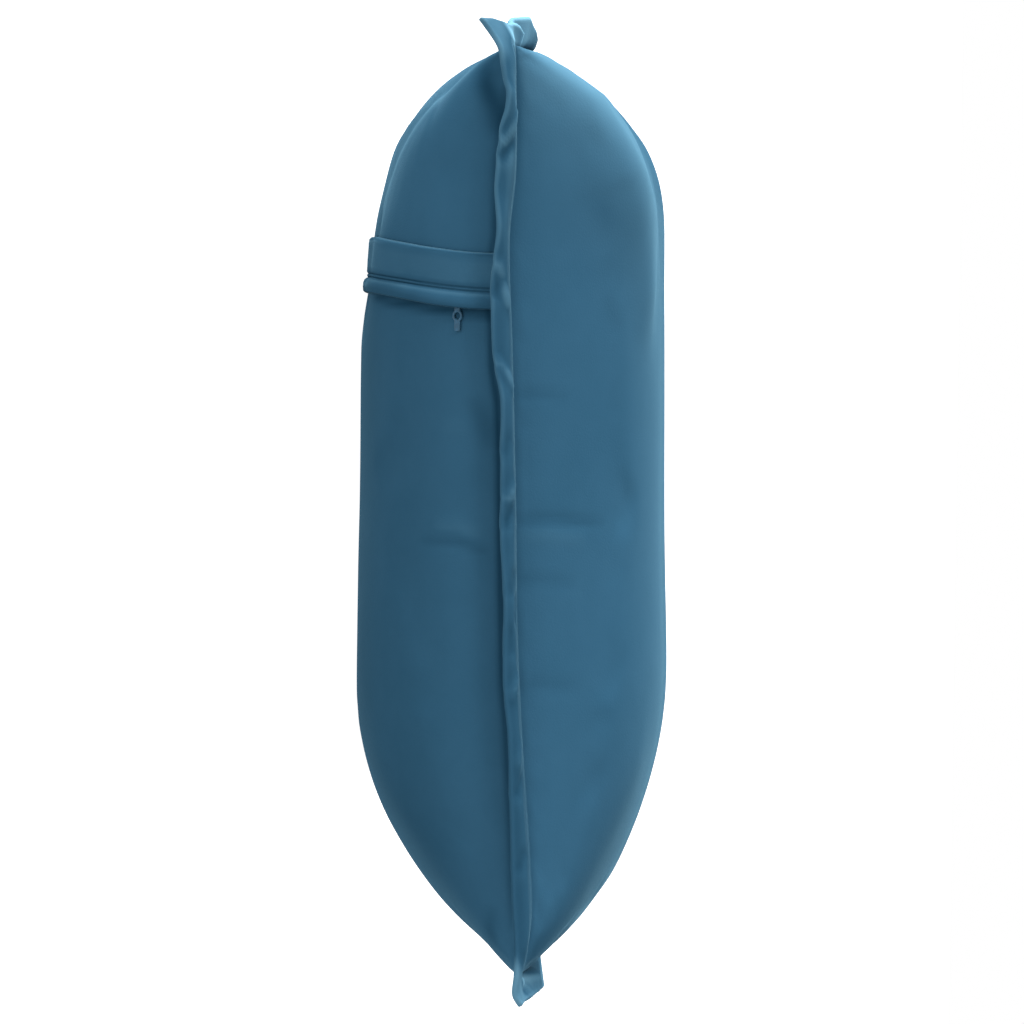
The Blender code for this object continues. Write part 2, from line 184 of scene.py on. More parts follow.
# Puckers of the flange, laid flat: each along a line of points, given along the side and
# out from the stitch line, with its height, below 0 for a dent, and its half width
PUCKERS = {
    "near": [
        ([(168, 7), (156, 14)], 0.9, 2.0), ([(155, 9), (150, 13)], -1.0, 2.6),
        ([(104, 14), (87, 8)], 1.0, 2.0), ([(96, 12), (92, 14)], -0.9, 2.9),
        ([(62, 14), (51, 8)], 1.0, 2.0), ([(30, 12), (24, 14)], -0.6, 2.9),
        ([(10, 8), (4, 13)], 0.8, 2.4), ([(0, 10), (-6, 13)], -0.9, 2.6),
        ([(-28, 10), (-35, 12)], -0.9, 2.9), ([(-40, 5), (-46, 7)], -1.1, 3.6),
        ([(-52, 12), (-60, 12)], -0.8, 2.6), ([(-72, 8), (-79, 13)], 0.8, 2.2),
        ([(-100, 8), (-108, 12)], 0.6, 2.4), ([(-115, 10), (-121, 12)], -0.9, 2.6),
        ([(-147, 10), (-153, 12)], -0.7, 2.6),
    ],
    "bottom": [([(-203, 6), (-193, 5)], 0.7, 2.4), ([(-193, 5), (-190, 12)], 0.7, 2.4)],
}
PUCKER_ROOM = (1.0, 5.0)

# Painted shadow of the flange: a narrow dark mark on the back panel beside its free edge, as (y,
# z)
FLANGE_SHADOW = [
    (180, 61.7), (174, 63.3), (163, 60.7), (148, 59.2), (131, 59.0), (118, 59.4), (106, 57.7),
    (89, 57.7), (59, 58.7), (46, 61.1), (29, 62.1), (12, 62.4), (-16, 63.2), (-39, 64.0),
    (-77, 65.1), (-94, 66.9), (-116, 68.0), (-137, 69.2), (-150, 69.8), (-167, 70.0),
    (-180, 70.6),
]

# Soft folds of the panels by the view that shows them, raised above 0 and dented below 0,
# each along a line of points: (y, z) from the near or far side, (x, z) from the top or
# bottom, (x, y) from the front or back. Their marks are painted light as on the flange; a
# fold of height 0 is only a painted highlight, shadow or shade. A fold fades at both
# ends where they are soft, over its last part, or nowhere where they are full
Fold = namedtuple("Fold", "line height half_width mark ends", defaults=(0.0, "soft"))
FOLDS = {
    "front": [
        ([(-160, 192), (-126, 148), (-92, 105)], 2.4, 14, 0.0, "full"),
        ([(-172, 190), (-156, 168), (-146, 142), (-142, 96)], 5.2, 24, 0.0, "last"),
        ([(158, 191), (126, 144), (95, 98)], 1.6, 15, 0.0, "full"),
        # Painted highlight along the near top shoulder, narrow and then broad
        (
            [(-178, 192), (-150, 168), (-126, 144), (-108, 112), (-98, 40)],
            0.0, 15, 0.75, "last",
        ),
        (
            [(-178, 190), (-148, 160), (-124, 132), (-108, 90), (-100, 0)],
            0.0, 36, 0.35, "last",
        ),
        ([(-128, 150), (-122, 128), (-120, 100), (-120, 64)], 2.2, 20, 0.0, "last"),
    ],
    "back": [
        ([(-156, 172), (-130, 146), (-106, 118)], 2.4, 15),
        # A small ridge with a painted highlight along it
        ([(-183, 189), (-150, 172), (-126, 150), (-98, 124)], 0.6, 3.6, 0.7),
    ],
    "near": [
        # Painted shadows: of the top ear in the hollow beside it, of the lip under the flap and of
        # the flange beside its free edge; then painted shade in a hollow by the bottom ear
        ([(197, 58), (189, 54), (181, 54), (171, 59), (158, 61)], -0.6, 5.0, -0.9),
        ([(83, 57), (84, 40), (86, 27), (88, 14), (91, 4)], 0.0, 2.3, -0.9, "full"),
        (FLANGE_SHADOW, 0.0, 1.7, -0.95),
        ([(-197, 64), (-188, 62), (-180, 61), (-170, 62)], -0.3, 3.0, -0.4),
        # Small creases with painted shade in their dents and a painted highlight on their ridges
        ([(48, 67), (49, 78), (47, 92)], -0.3, 2.6, -0.18),
        ([(-5, 67), (-4, 84), (-6, 108)], -0.5, 2.4, -0.32),
        ([(-11, 70), (-11, 84), (-13, 100)], 0.25, 3.4, 0.1),
        ([(-31, 67), (-30, 79), (-32, 96)], -0.35, 2.8, -0.15),
        ([(-77, 68), (-75, 82), (-77, 99)], -0.35, 3.0, -0.15),
        ([(-14, 28), (-14, 44), (-17, 54), (-20, 60)], -0.5, 2.2, -0.32),
        ([(-8, 34), (-9, 46), (-12, 56)], 0.25, 3.2, 0.1),
        ([(34, 38), (35, 54)], 0.2, 3.4, 0.05),
        ([(-1, 37), (0, 51)], -0.2, 2.6),
        ([(48, 51), (36, 56), (24, 59)], -0.3, 4.5, -0.3),
    ],
    "far": [
        # Small creases with painted shade in their dents
        ([(62, 64), (60, 78), (63, 94)], -0.4, 2.8, -0.2),
        ([(12, 63), (14, 76), (11, 88)], -0.3, 2.8, -0.1),
        ([(-38, 64), (-36, 82), (-39, 98)], -0.45, 2.8, -0.2),
        ([(-84, 65), (-85, 78)], -0.25, 2.8, -0.1),
        ([(-22, 52), (-19, 38), (-20, 24)], -0.4, 2.6, -0.2),
        ([(70, 50), (67, 34)], -0.25, 2.8, -0.1),
    ],
    "top": [
        # Small creases with painted shade in their dents
        ([(-66, 66), (-63, 80), (-66, 96)], -0.35, 2.8, -0.2),
        ([(8, 64), (10, 78)], -0.25, 2.8, -0.1),
        ([(74, 64), (71, 80), (75, 92)], -0.35, 2.8, -0.2),
        ([(-28, 56), (-25, 40)], -0.3, 2.8, -0.1),
        ([(48, 54), (50, 36)], -0.3, 2.8, -0.1),
    ],
    "bottom": [
        # Painted shade on the faces of the front and the back panel that turn down to the bottom
        ([(-150, 100), (-150, 125)], 0.0, 45, -0.45, "full"),
        ([(150, 100), (150, 125)], 0.0, 45, -0.5, "full"),
        ([(-150, 15), (-150, 30)], 0.0, 30, -0.3, "full"),
        # Small creases with painted shade in their dents
        ([(-78, 76), (-75, 92)], -0.35, 2.8, -0.2),
        ([(4, 76), (2, 94), (5, 106)], -0.4, 3.0, -0.2),
        ([(84, 74), (86, 88)], -0.3, 2.8, -0.1),
        ([(-40, 64), (-42, 44)], -0.35, 3.0, -0.1),
        ([(52, 62), (49, 42)], -0.3, 2.8, -0.1),
    ],
}

# How far from the seam folds of the front and back grow to their height, how squarely a
# place has to face the view, and how the folds fade at their ends
FOLD_ROOM = 22.0
FOLD_FACING = (0.05, 0.4)
SOFT_POWER = 0.5
LAST_FADE = (0.25, 1.0)

# The two axes that each view shows, and the direction that it is seen from
VIEWS = {
    "near": ((1, 2), (-1, 0, 0)), "far": ((1, 2), (1, 0, 0)),
    "top": ((0, 2), (0, 1, 0)), "bottom": ((0, 2), (0, -1, 0)),
    "front": ((0, 1), (0, 0, 1)), "back": ((0, 1), (0, 0, -1)),
}

# Grid of the cover: its finest and coarsest cells and how far from the seam they grow, and
# the number of points in a profile
COVER_CELLS = (2.2, 6.0, 45.0)
PROFILE_POINTS = 2400

# Filling of the cover: the cloth, the frames that it takes, how far from the stitch line
# the cloth is held, and the rounds of smoothing that its small forms stand out from
CLOTH = {
    "quality": 5, "mass": 0.3, "tension_stiffness": 15, "compression_stiffness": 15,
    "bending_stiffness": 0.05, "air_damping": 4, "use_pressure": True,
}
FILL_FRAMES = 20
SEWN_REACH = 0.5
SWELL_ROUNDS = 120

# Flap over the zip, by rows: where they lie on the back panel, at the surface and at the
# side seams, how far they stand off it, their share of the lip's lift and their painted
# light: a painted highlight on the band and the lip's top, painted shade in the stitch
# grooves and along the lip's lower edge and underside
FlapRow = namedtuple("FlapRow", "middle side stand_off lifted mark", defaults=(0.0, 0.0))
FLAP_TABLE = [
    (116.4, 108.6, 0.2), (116.2, 108.4, 1.2), (115.3, 107.6, 2.0), (113.8, 106.2, 2.1, 0.0, 0.5),
    (110.8, 103.4, 2.0, 0.0, 0.6), (106.6, 99.4, 1.95, 0.0, 0.6), (103.2, 96.0, 1.8, 0.0, 0.5),
    (101.4, 94.2, 1.7, 0.0, -0.1), (100.9, 93.7, 1.4, 0.0, -0.3), (100.5, 93.3, 1.0, 0.0, -0.5),
    (100.1, 92.95, 1.4, 0.0, -0.1), (99.75, 92.65, 1.45), (99.4, 92.3, 1.35, 0.0, -0.1),
    (99.0, 92.0, 0.95, 0.0, -0.5), (98.6, 91.6, 1.6, 0.1), (97.8, 90.6, 2.4, 0.3, 0.3),
    (96.4, 88.8, 2.8, 0.6), (94.6, 86.6, 2.75, 0.9, -0.1), (93.0, 85.0, 2.3, 1.0, -0.2),
    (92.4, 84.4, 1.5, 1.0, -1.2), (92.9, 84.9, 0.9, 1.0, -1.0), (94.8, 86.8, 0.9, 0.8, -0.5),
    (97.0, 89.6, 0.6, 0.4, -0.5),
]
FLAP_ROWS = [FlapRow(*row) for row in FLAP_TABLE]
FLAP_OUTER_ROWS = 20
FLAP_COLUMNS = 170
FLAP_CELLS = (1.4, 3.2, 40.0)
FLAP_SAG_POWER = 1.2
FLAP_EVEN_ROUNDS = 6
LIP_LIFT = 2.0
LIP_LIFT_HEIGHTS = (8.0, 40.0)

# Zip puller: its ring shows under the lip, its head is hidden beneath it
PULLER_PLACE = (-192.0, 81.6, 40.6)
PULLER_GAP = 0.2
RING_RADIUS = 2.05
RING_WIRE = 0.6
STEM_WIDTH = 3.0
STEM_END = -6.6
HEAD_END = 8.2
PLATE_THICKNESS = 1.1
PLATE_ROUNDING = 0.42
PULLER_GRAIN = 0.16

# Camera at the photograph's angle, with the photograph's side and the size of its pixel; the
# distance and the target are in metres
PHOTO_SIDE = 1024
PIXEL = 0.4345
CAMERA_DISTANCE = 10.0
CAMERA_ELEVATION = math.radians(1.2)
CAMERA_ROLL = math.radians(0.8)
CAMERA_TARGET = Vector((0, -0.0015, 0.0642))

# Lamps, with their width in degrees and the direction that their light comes from
LAMPS = {
    "key": (14, (-0.68, 0.52, 0.50)),
    "overhead": (40, (-0.15, 0.98, 0.10)),
    "rim": (25, (0.45, 0.75, 0.48)),
}


class CoverSettings(bpy.types.PropertyGroup):
    """Sizes of the filled cover."""

    cells: IntProperty(
        name="Cells", description="Cells across each panel before subdivision", default=84,
        min=20,
    )
    pressure: FloatProperty(
        name="Filling", description="Pressure of the filling on the cloth", default=4.0, min=0.0,
    )
    slack: FloatProperty(
        name="Slack", description="Share by which the cloth is cut larger than the filling",
        default=0.012, min=0.0,
    )
    most_swell: FloatProperty(
        name="Most swell", description="Farthest that the cloth may move as it fills",
        default=0.8 * MM, unit="LENGTH", subtype="DISTANCE",
    )


class FlangeSettings(bpy.types.PropertyGroup):
    """Sizes of the flange."""

    stations: IntProperty(
        name="Stations", description="Sections of the flange along each side", default=190,
        min=40,
    )
    width: FloatProperty(
        name="Width", description="Width of the flange outside the stitch line", default=15 * MM,
        unit="LENGTH", subtype="DISTANCE",
    )
    thickness: FloatProperty(
        name="Thickness", description="Thickness of the doubled velvet", default=2.6 * MM,
        unit="LENGTH", subtype="DISTANCE",
    )


class FlapSettings(bpy.types.PropertyGroup):
    """Sizes of the flap over the zip."""

    end_gap: FloatProperty(
        name="End gap",
        description="Room between the flap's end and the side seam, down the panel",
        default=2 * MM, unit="LENGTH", subtype="DISTANCE",
    )


class FinishSettings(bpy.types.PropertyGroup):
    """Colours of the velvet, of its painted highlight and painted shade, and of the puller."""

    velvet: FloatVectorProperty(
        name="Velvet", description="Colour in the depth of the pile",
        default=(0.0172, 0.0590, 0.1000), subtype="COLOR", size=3,
    )
    brushed: FloatVectorProperty(
        name="Brushed velvet", description="Colour where the pile lies the other way",
        default=(0.0204, 0.0660, 0.1110), subtype="COLOR", size=3,
    )
    # Painted highlight: the colour mixed in where the painted light rises above 0, on the ears,
    # the lobes, the root and along ridges
    rubbed: FloatVectorProperty(
        name="Rubbed velvet", description="Colour of the pile on the ears and along ridges",
        default=(0.1324, 0.2825, 0.3790), subtype="COLOR", size=3,
    )
    # Painted shade: the colour mixed in where the painted light falls below 0, in creases,
    # hollows, beside the flange and under the lip
    painted_shade: FloatVectorProperty(
        name="Shaded velvet",
        description="Colour of the pile that is pressed together in a crease",
        default=(0.0060, 0.0270, 0.0500), subtype="COLOR", size=3,
    )
    sheen: FloatVectorProperty(
        name="Sheen", description="Colour of the light that the tips of the pile catch",
        default=(0.40, 0.78, 1.0), subtype="COLOR", size=3,
    )
    puller: FloatVectorProperty(
        name="Puller", description="Colour of the enamel on the zip's puller",
        default=(0.012, 0.050, 0.088), subtype="COLOR", size=3,
    )


class StageSettings(bpy.types.PropertyGroup):
    """Floor, light and camera."""

    floor: FloatVectorProperty(
        name="Floor", description="Colour of the floor", default=(0.35, 0.35, 0.35),
        subtype="COLOR", size=3,
    )
    under_light: FloatProperty(
        name="Under-light", description="Strength of the light that the floor gives", default=1.0,
    )
    ambient: FloatProperty(
        name="Ambient", description="Strength of the even light all round", default=1.0,
    )
    key: FloatProperty(name="Key", description="Strength of the key light", default=2.0)
    overhead: FloatProperty(
        name="Overhead", description="Strength of the wide light above the cushion's top",
        default=6.4,
    )
    rim: FloatProperty(
        name="Rim", description="Strength of the light from above and behind", default=3.4,
    )


# Helpers
def clear_selection():
    """Leave edit mode and deselect everything."""
    if bpy.context.object and bpy.context.object.mode != "OBJECT":
        bpy.ops.object.mode_set(mode="OBJECT")
    bpy.ops.object.select_all(action="DESELECT")


def make_active(piece):
    """Select one object alone."""
    clear_selection()
    piece.select_set(True)
    bpy.context.view_layer.objects.active = piece


def apply_modifiers(piece):
    """Apply every modifier of a piece in order."""
    make_active(piece)
    for name in [modifier.name for modifier in piece.modifiers]:
        bpy.ops.object.modifier_apply(modifier=name)


def named(piece, name, material, node):
    """Name a finished piece, give it its finish and tie it to its solid."""
    piece.name = piece.data.name = name
    piece.data.materials.clear()
    piece.data.materials.append(material)
    piece.data.shade_smooth()
    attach(piece, "root")
    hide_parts(node)


def points_of(piece):
    """Points of a mesh as rows of x, y, z."""
    values = np.empty(len(piece.data.vertices) * 3)
    piece.data.vertices.foreach_get("co", values)
    return values.reshape(-1, 3)


def set_points(piece, points):
    """Move the points of a mesh."""
    piece.data.vertices.foreach_set("co", np.asarray(points, float).ravel())
    piece.data.update()


def normals_of(piece):
    """Outward directions at the points of a mesh."""
    values = np.empty(len(piece.data.vertices) * 3)
    piece.data.vertex_normals.foreach_get("vector", values)
    return values.reshape(-1, 3)


def unit(vectors):
    """Vectors scaled to a length of one."""
    return vectors / np.linalg.norm(vectors, axis=-1, keepdims=True)


def follow(places, values, at):
    """Read values between their places on a smooth curve."""
    places, values = np.asarray(places, float), np.asarray(values, float)
    slopes = np.empty_like(values)
    slopes[1:-1] = (values[2:] - values[:-2]) / (places[2:] - places[:-2])
    slopes[0] = (values[1] - values[0]) / (places[1] - places[0])
    slopes[-1] = (values[-1] - values[-2]) / (places[-1] - places[-2])
    at = np.clip(at, places[0], places[-1])
    i = np.clip(np.searchsorted(places, at, side="right") - 1, 0, len(places) - 2)
    span = places[i + 1] - places[i]
    t = (at - places[i]) / span
    start = values[i] * (1 + 2 * t) * (1 - t) ** 2 + slopes[i] * span * t * (1 - t) ** 2
    end = values[i + 1] * t * t * (3 - 2 * t) - slopes[i + 1] * span * t * t * (1 - t)
    return start + end


def ease(start, end, value):
    """Go smoothly from 0 at start to 1 at end."""
    t = np.clip((value - start) / (end - start), 0.0, 1.0)
    return t * t * (3 - 2 * t)


def along_line(plan, line):
    """Distance of each place in plan from a line, and the share of the line's way beside it."""
    line = np.array(line, float)
    run = np.linalg.norm(np.diff(line, axis=0), axis=1)
    gap, place = np.full(len(plan), np.inf), np.zeros(len(plan))
    for k, (a, b) in enumerate(zip(line[:-1], line[1:])):
        t = np.clip((plan - a) @ (b - a) / run[k] ** 2, 0, 1)
        apart = np.linalg.norm(plan - a - t[:, None] * (b - a), axis=1)
        nearer = apart < gap
        gap[nearer] = apart[nearer]
        place[nearer] = (run[:k].sum() + t[nearer] * run[k]) / run.sum()
    return gap, place


def seam_lines(across, along):
    """Half the width between the side seams, and the places of the top and bottom seams."""
    half = SEAM_HALF_WIDTH - SIDE_DRAW_IN * (1 - along**2)
    top = SEAM_TOP - TOP_DRAW_IN * (1 - across**2)
    bottom = SEAM_BOTTOM + BOTTOM_DRAW_IN * (1 - across**2)
    return half, top, bottom


def seam_place(across, along):
    """Place in plan of a point given by -1 to 1 from seam to seam each way."""
    half, top, bottom = seam_lines(across, along)
    return across * half, bottom + (top - bottom) * (along + 1) / 2


def seam_height(across, y):
    """Height of the sheet that the stitch line spans; it tilts only near the sides."""
    near = follow(SEAM_PLACES, NEAR_HEIGHTS, y)
    far = follow(SEAM_PLACES, FAR_HEIGHTS, y)
    return (near + far) / 2 + (far - near) / 2 * across**3


def cushion_tree():
    """Search tree over the solid of the filled cushion."""
    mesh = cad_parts["cushion"].data
    return BVHTree.FromPolygons(
        [vertex.co[:] for vertex in mesh.vertices], [face.vertices[:] for face in mesh.polygons]
    )


def plan_shift():
    """How far the solids were moved in plan so that the origin lies under their middle."""
    low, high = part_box("cushion")
    return Vector(((low.x + high.x) / 2, low.y - SEAM_BOTTOM * MM, 0))


def close_open_edges(operator):
    """Close the open edges of the mesh in edit mode with an operator, then select all of it."""
    bpy.ops.mesh.select_mode(type="EDGE")
    bpy.ops.mesh.select_all(action="DESELECT")
    bpy.ops.mesh.select_non_manifold()
    operator()
    bpy.ops.mesh.select_all(action="SELECT")


def numbered_grid(columns, rows):
    """A new grid of cells, with the column and the row of each of its points."""
    clear_selection()
    bpy.ops.mesh.primitive_grid_add(x_subdivisions=columns, y_subdivisions=rows, size=2)
    piece = bpy.context.object
    steps = points_of(piece)[:, :2] / 2 + 0.5
    column, row = np.rint(steps * (columns, rows)).astype(int).T
    return piece, column, row


def paint_light_and_shade(piece, marks):
    """Store at each point of a piece its painted light: painted shade below 0, painted highlight
    above 0.
    """
    rubbed = piece.data.attributes.new("rubbed", "FLOAT", "POINT")
    rubbed.data.foreach_set("value", marks)


def closed_sheet(sections, ring, marks):
    """A closed sheet through sections of points, with its painted light and shade.

    Where it is a ring, its last section is joined to its first.
    """
    count, size = sections.shape[:2]
    piece, column, row = numbered_grid(count if ring else count - 1, size)
    column, row = column % count, row % size
    set_points(piece, sections[column, row])
    paint_light_and_shade(piece, marks[column, row])
    bpy.ops.object.mode_set(mode="EDIT")
    bpy.ops.mesh.select_all(action="SELECT")
    bpy.ops.mesh.remove_doubles(threshold=1e-6)
    if not ring:
        close_open_edges(bpy.ops.mesh.edge_face_add)
    bpy.ops.mesh.normals_make_consistent(inside=False)
    bpy.ops.object.mode_set(mode="OBJECT")
    return piece


# Materials
def new_material(name):
    """A material with its nodes, its shader and the coordinates of its piece."""
    material = bpy.data.materials.new(name)
    material.use_nodes = True
    tree = material.node_tree
    place = tree.nodes.new("ShaderNodeTexCoord").outputs["Object"]
    return material, tree, tree.nodes["Principled BSDF"], place


def add_noise(tree, source, scale, detail, roughness, distortion=0.0):
    """Add a noise texture that reads the given coordinates."""
    noise = tree.nodes.new("ShaderNodeTexNoise")
    noise.inputs["Scale"].default_value = scale
    noise.inputs["Detail"].default_value = detail
    noise.inputs["Roughness"].default_value = roughness
    noise.inputs["Distortion"].default_value = distortion
    tree.links.new(source, noise.inputs["Vector"])
    return noise.outputs["Fac"]


def mix_colours(tree, factor, first, second):
    """Mix a colour, or the result of another mix, with a second colour by a factor."""
    mix = tree.nodes.new("ShaderNodeMix")
    mix.data_type = "RGBA"
    if isinstance(first, bpy.types.NodeSocket):
        tree.links.new(first, mix.inputs["A"])
    else:
        mix.inputs["A"].default_value = (*first, 1.0)
    mix.inputs["B"].default_value = (*second, 1.0)
    tree.links.new(factor, mix.inputs["Factor"])
    return mix.outputs["Result"]


def spread(tree, value, low, high, to_low=0.0, to_high=1.0):
    """Stretch a value from one range to another."""
    ranged = tree.nodes.new("ShaderNodeMapRange")
    numbers = {"From Min": low, "From Max": high, "To Min": to_low, "To Max": to_high}
    for name, number in numbers.items():
        ranged.inputs[name].default_value = number
    tree.links.new(value, ranged.inputs["Value"])
    return ranged.outputs["Result"]


def velvet(name, settings, depth=1.0):
    """Short blue pile: dark in its depth, pale where its tips are seen edge-on, with painted shade
    and painted highlight mixed into its colour.
    """
    material, tree, shader, place = new_material(name)
    brushed = add_noise(tree, place, scale=9.0, detail=3.0, roughness=0.55, distortion=0.6)
    marks = add_noise(tree, place, scale=60.0, detail=4.0, roughness=0.6, distortion=0.3)
    pile = add_noise(tree, place, scale=1100.0, detail=2.0, roughness=0.6)

    broad_share = 0.6
    lie = tree.nodes.new("ShaderNodeMath")
    lie.operation = "MULTIPLY_ADD"
    lie.inputs[1].default_value = broad_share
    tree.links.new(spread(tree, brushed, 0.35, 0.65), lie.inputs[0])
    tree.links.new(spread(tree, marks, 0.3, 0.7, to_high=1 - broad_share), lie.inputs[2])
    colours = [[channel * depth for channel in c] for c in (settings.velvet, settings.brushed)]
    colour = mix_colours(tree, lie.outputs["Value"], *colours)
    # Painted shade below 0 and painted highlight above 0, read from the piece's rubbed attribute
    rubbed = tree.nodes.new("ShaderNodeAttribute")
    rubbed.attribute_name = "rubbed"
    colour = mix_colours(tree, spread(tree, rubbed.outputs["Fac"], 0, -1), colour, settings.painted_shade)
    colour = mix_colours(tree, spread(tree, rubbed.outputs["Fac"], 0, 3), colour, settings.rubbed)
    tree.links.new(colour, shader.inputs["Base Color"])
    tree.links.new(
        spread(tree, pile, 0.3, 0.7, to_low=0.78, to_high=0.95), shader.inputs["Roughness"]
    )

    nap = tree.nodes.new("ShaderNodeBump")
    nap.inputs["Strength"].default_value = 0.35
    nap.inputs["Distance"].default_value = 0.25 * MM
    tree.links.new(pile, nap.inputs["Height"])
    tree.links.new(nap.outputs["Normal"], shader.inputs["Normal"])

    shader.inputs["Specular IOR Level"].default_value = 0.0
    shader.inputs["Sheen Weight"].default_value = 0.12
    shader.inputs["Sheen Roughness"].default_value = 0.26
    shader.inputs["Sheen Tint"].default_value = (*settings.sheen, 1.0)
    return material


def enamel(name, settings):
    """Satin enamel of the puller, a little worn."""
    material, tree, shader, place = new_material(name)
    wear = add_noise(tree, place, scale=700.0, detail=4.0, roughness=0.6)
    lighter = [min(1.0, channel * 1.5) for channel in settings.puller]
    colour = mix_colours(tree, spread(tree, wear, 0.45, 0.7), settings.puller, lighter)
    tree.links.new(colour, shader.inputs["Base Color"])
    tree.links.new(
        spread(tree, wear, 0.3, 0.7, to_low=0.42, to_high=0.6), shader.inputs["Roughness"]
    )
    shader.inputs["Specular IOR Level"].default_value = 0.25
    return material


# Filled cover
def crowded(profile, cells, sizes):
    """Places from -1 to 1 whose cells have an even length along a profile, finer at its ends."""
    plan, height = profile
    fine, coarse, reach = sizes
    steps = np.hypot(np.diff(plan), np.diff(height))
    run = np.concatenate([[0], np.cumsum(steps)])
    middle = (run[1:] + run[:-1]) / 2
    from_end = np.minimum(middle, run[-1] - middle)
    cell = fine + (coarse - fine) * ease(0, reach, from_end)
    count = np.concatenate([[0], np.cumsum(steps / cell)])
    even = np.linspace(0, count[-1], cells + 1)
    places = np.interp(even, count, plan)
    return (places - plan[0]) / (plan[-1] - plan[0]) * 2 - 1


def profile_of(tree, direction, fixed, moving, limits):
    """Plan places and heights of a panel along one line, looking up or down at it."""
    places, heights = [], []
    for place in np.linspace(*limits, PROFILE_POINTS):
        start = [0, 0, -direction]
        start[fixed[0]] = fixed[1] * MM
        start[moving] = place * MM
        hit = tree.ray_cast(Vector(start), Vector((0, 0, direction)))[0]
        if hit is not None:
            places.append(place)
            heights.append(hit.z / MM)
    return np.array(places), np.array(heights)


def build_panel(tree, side, across, along, shift):
    """The front panel, side 1, or the back panel, side -1, as a grid laid over the solid."""
    columns, rows = len(across) - 1, len(along) - 1
    panel, column, row = numbered_grid(columns, rows)
    x, y = seam_place(across[column], along[row])
    height = seam_height(across[column], y) + side * SEAM_THICKNESS / 2
    for i in np.flatnonzero((column % columns > 0) & (row % rows > 0)):
        start = Vector((x[i] * MM, y[i] * MM, side)) + shift
        hit = tree.ray_cast(start, Vector((0, 0, -side)))[0]
        if hit is not None:
            height[i] = hit.z / MM
    set_points(panel, np.column_stack([x, y, height]) * MM + np.array(shift))
    if side < 0:
        panel.data.flip_normals()
    return panel


def cover_grid(settings):
    """Both panels joined by the thin edge between them."""
    tree = cushion_tree()
    shift = plan_shift()
    half, top, bottom = seam_lines(0, 0)
    wide = profile_of(tree, -1, (1, 0.0), 0, (-half, half))
    tall = profile_of(tree, -1, (0, 0.0), 1, (bottom, top))
    across = crowded(wide, settings.cells, COVER_CELLS)
    along = crowded(tall, settings.cells, COVER_CELLS)
    front, back = (build_panel(tree, side, across, along, shift) for side in (1, -1))
    clear_selection()
    back.select_set(True)
    front.select_set(True)
    bpy.context.view_layer.objects.active = front
    bpy.ops.object.join()
    bpy.ops.object.mode_set(mode="EDIT")
    close_open_edges(bpy.ops.mesh.bridge_edge_loops)
    bpy.ops.mesh.normals_make_consistent(inside=False)
    bpy.ops.object.mode_set(mode="OBJECT")
    return front


def seam_distance(points, shift):
    """Distance of each point from the stitch line, in plan, in millimetres."""
    x = (points[:, 0] - shift.x) / MM
    y = (points[:, 1] - shift.y) / MM
    half, top, bottom = seam_lines(x / SEAM_HALF_WIDTH, y / SEAM_HALF_WIDTH)
    return np.minimum(half - np.abs(x), np.minimum(top - y, y - bottom))


def smooth_field(piece, values, rounds):
    """Even out a value at each point with those of its neighbours."""
    edges = np.empty(len(piece.data.edges) * 2, int)
    piece.data.edges.foreach_get("vertices", edges)
    a, b = edges.reshape(-1, 2).T
    count = np.bincount(np.concatenate([a, b]), minlength=len(values))
    for _ in range(rounds):
        total = np.bincount(a, values[b], len(values)) + np.bincount(b, values[a], len(values))
        values = (values + total / count) / 2
    return values


def paint_relief_light(piece):
    """Add painted highlight on small ridges, above 0, and painted shade in small dents, below 0.
    """
    points = points_of(piece)
    even = np.column_stack([smooth_field(piece, points[:, k], RELIEF_LIGHT_ROUNDS) for k in range(3)])
    relief = np.einsum("ij,ij->i", points - even, normals_of(piece))
    relief -= smooth_field(piece, relief, RELIEF_LIGHT_BROAD_ROUNDS)
    marks = piece.data.attributes["rubbed"]
    values = np.zeros(len(points))
    marks.data.foreach_get("value", values)
    rubbed = np.clip(relief / (RELIEF_LIGHT_SCALE * MM), -1, 1) * RELIEF_LIGHT_STRENGTH
    marks.data.foreach_set("value", values + rubbed)


def past_corner(points):
    """How far points lie past the stitch line's corners, measured along their diagonals."""
    x, y = np.abs(points[..., 0]), points[..., 1]
    end = np.where(y > 0, SEAM_TOP, -SEAM_BOTTOM)
    return (x + np.abs(y) - SEAM_HALF_WIDTH - end) / math.sqrt(2)


def fill_cover(piece, settings, shift):
    """Let the filling press the cloth out between its seams, then keep the small forms."""
    start = points_of(piece)
    outward = normals_of(piece)
    held = 1 - ease(0.0, SEWN_REACH, seam_distance(start, shift))
    pins = piece.vertex_groups.new(name="sewn")
    for i in np.flatnonzero(held > 0):
        pins.add([int(i)], float(held[i]), "REPLACE")
    filling = piece.modifiers.new("filling", "CLOTH")
    cloth = filling.settings
    for name, value in CLOTH.items():
        setattr(cloth, name, value)
    cloth.vertex_group_mass = pins.name
    cloth.uniform_pressure_force = settings.pressure
    cloth.shrink_min = -settings.slack
    cloth.effector_weights.gravity = 0
    filling.point_cache.frame_start = 1
    filling.point_cache.frame_end = FILL_FRAMES
    for number in range(1, FILL_FRAMES + 1):
        bpy.context.scene.frame_set(number)
    make_active(piece)
    bpy.ops.object.modifier_apply(modifier=filling.name)
    bpy.context.scene.frame_set(1)
    lift = np.einsum("ij,ij->i", points_of(piece) - start, outward)
    lift = settings.most_swell * np.tanh(lift / settings.most_swell)
    small = lift - smooth_field(piece, lift, SWELL_ROUNDS)
    set_points(piece, start + outward * small[:, None])


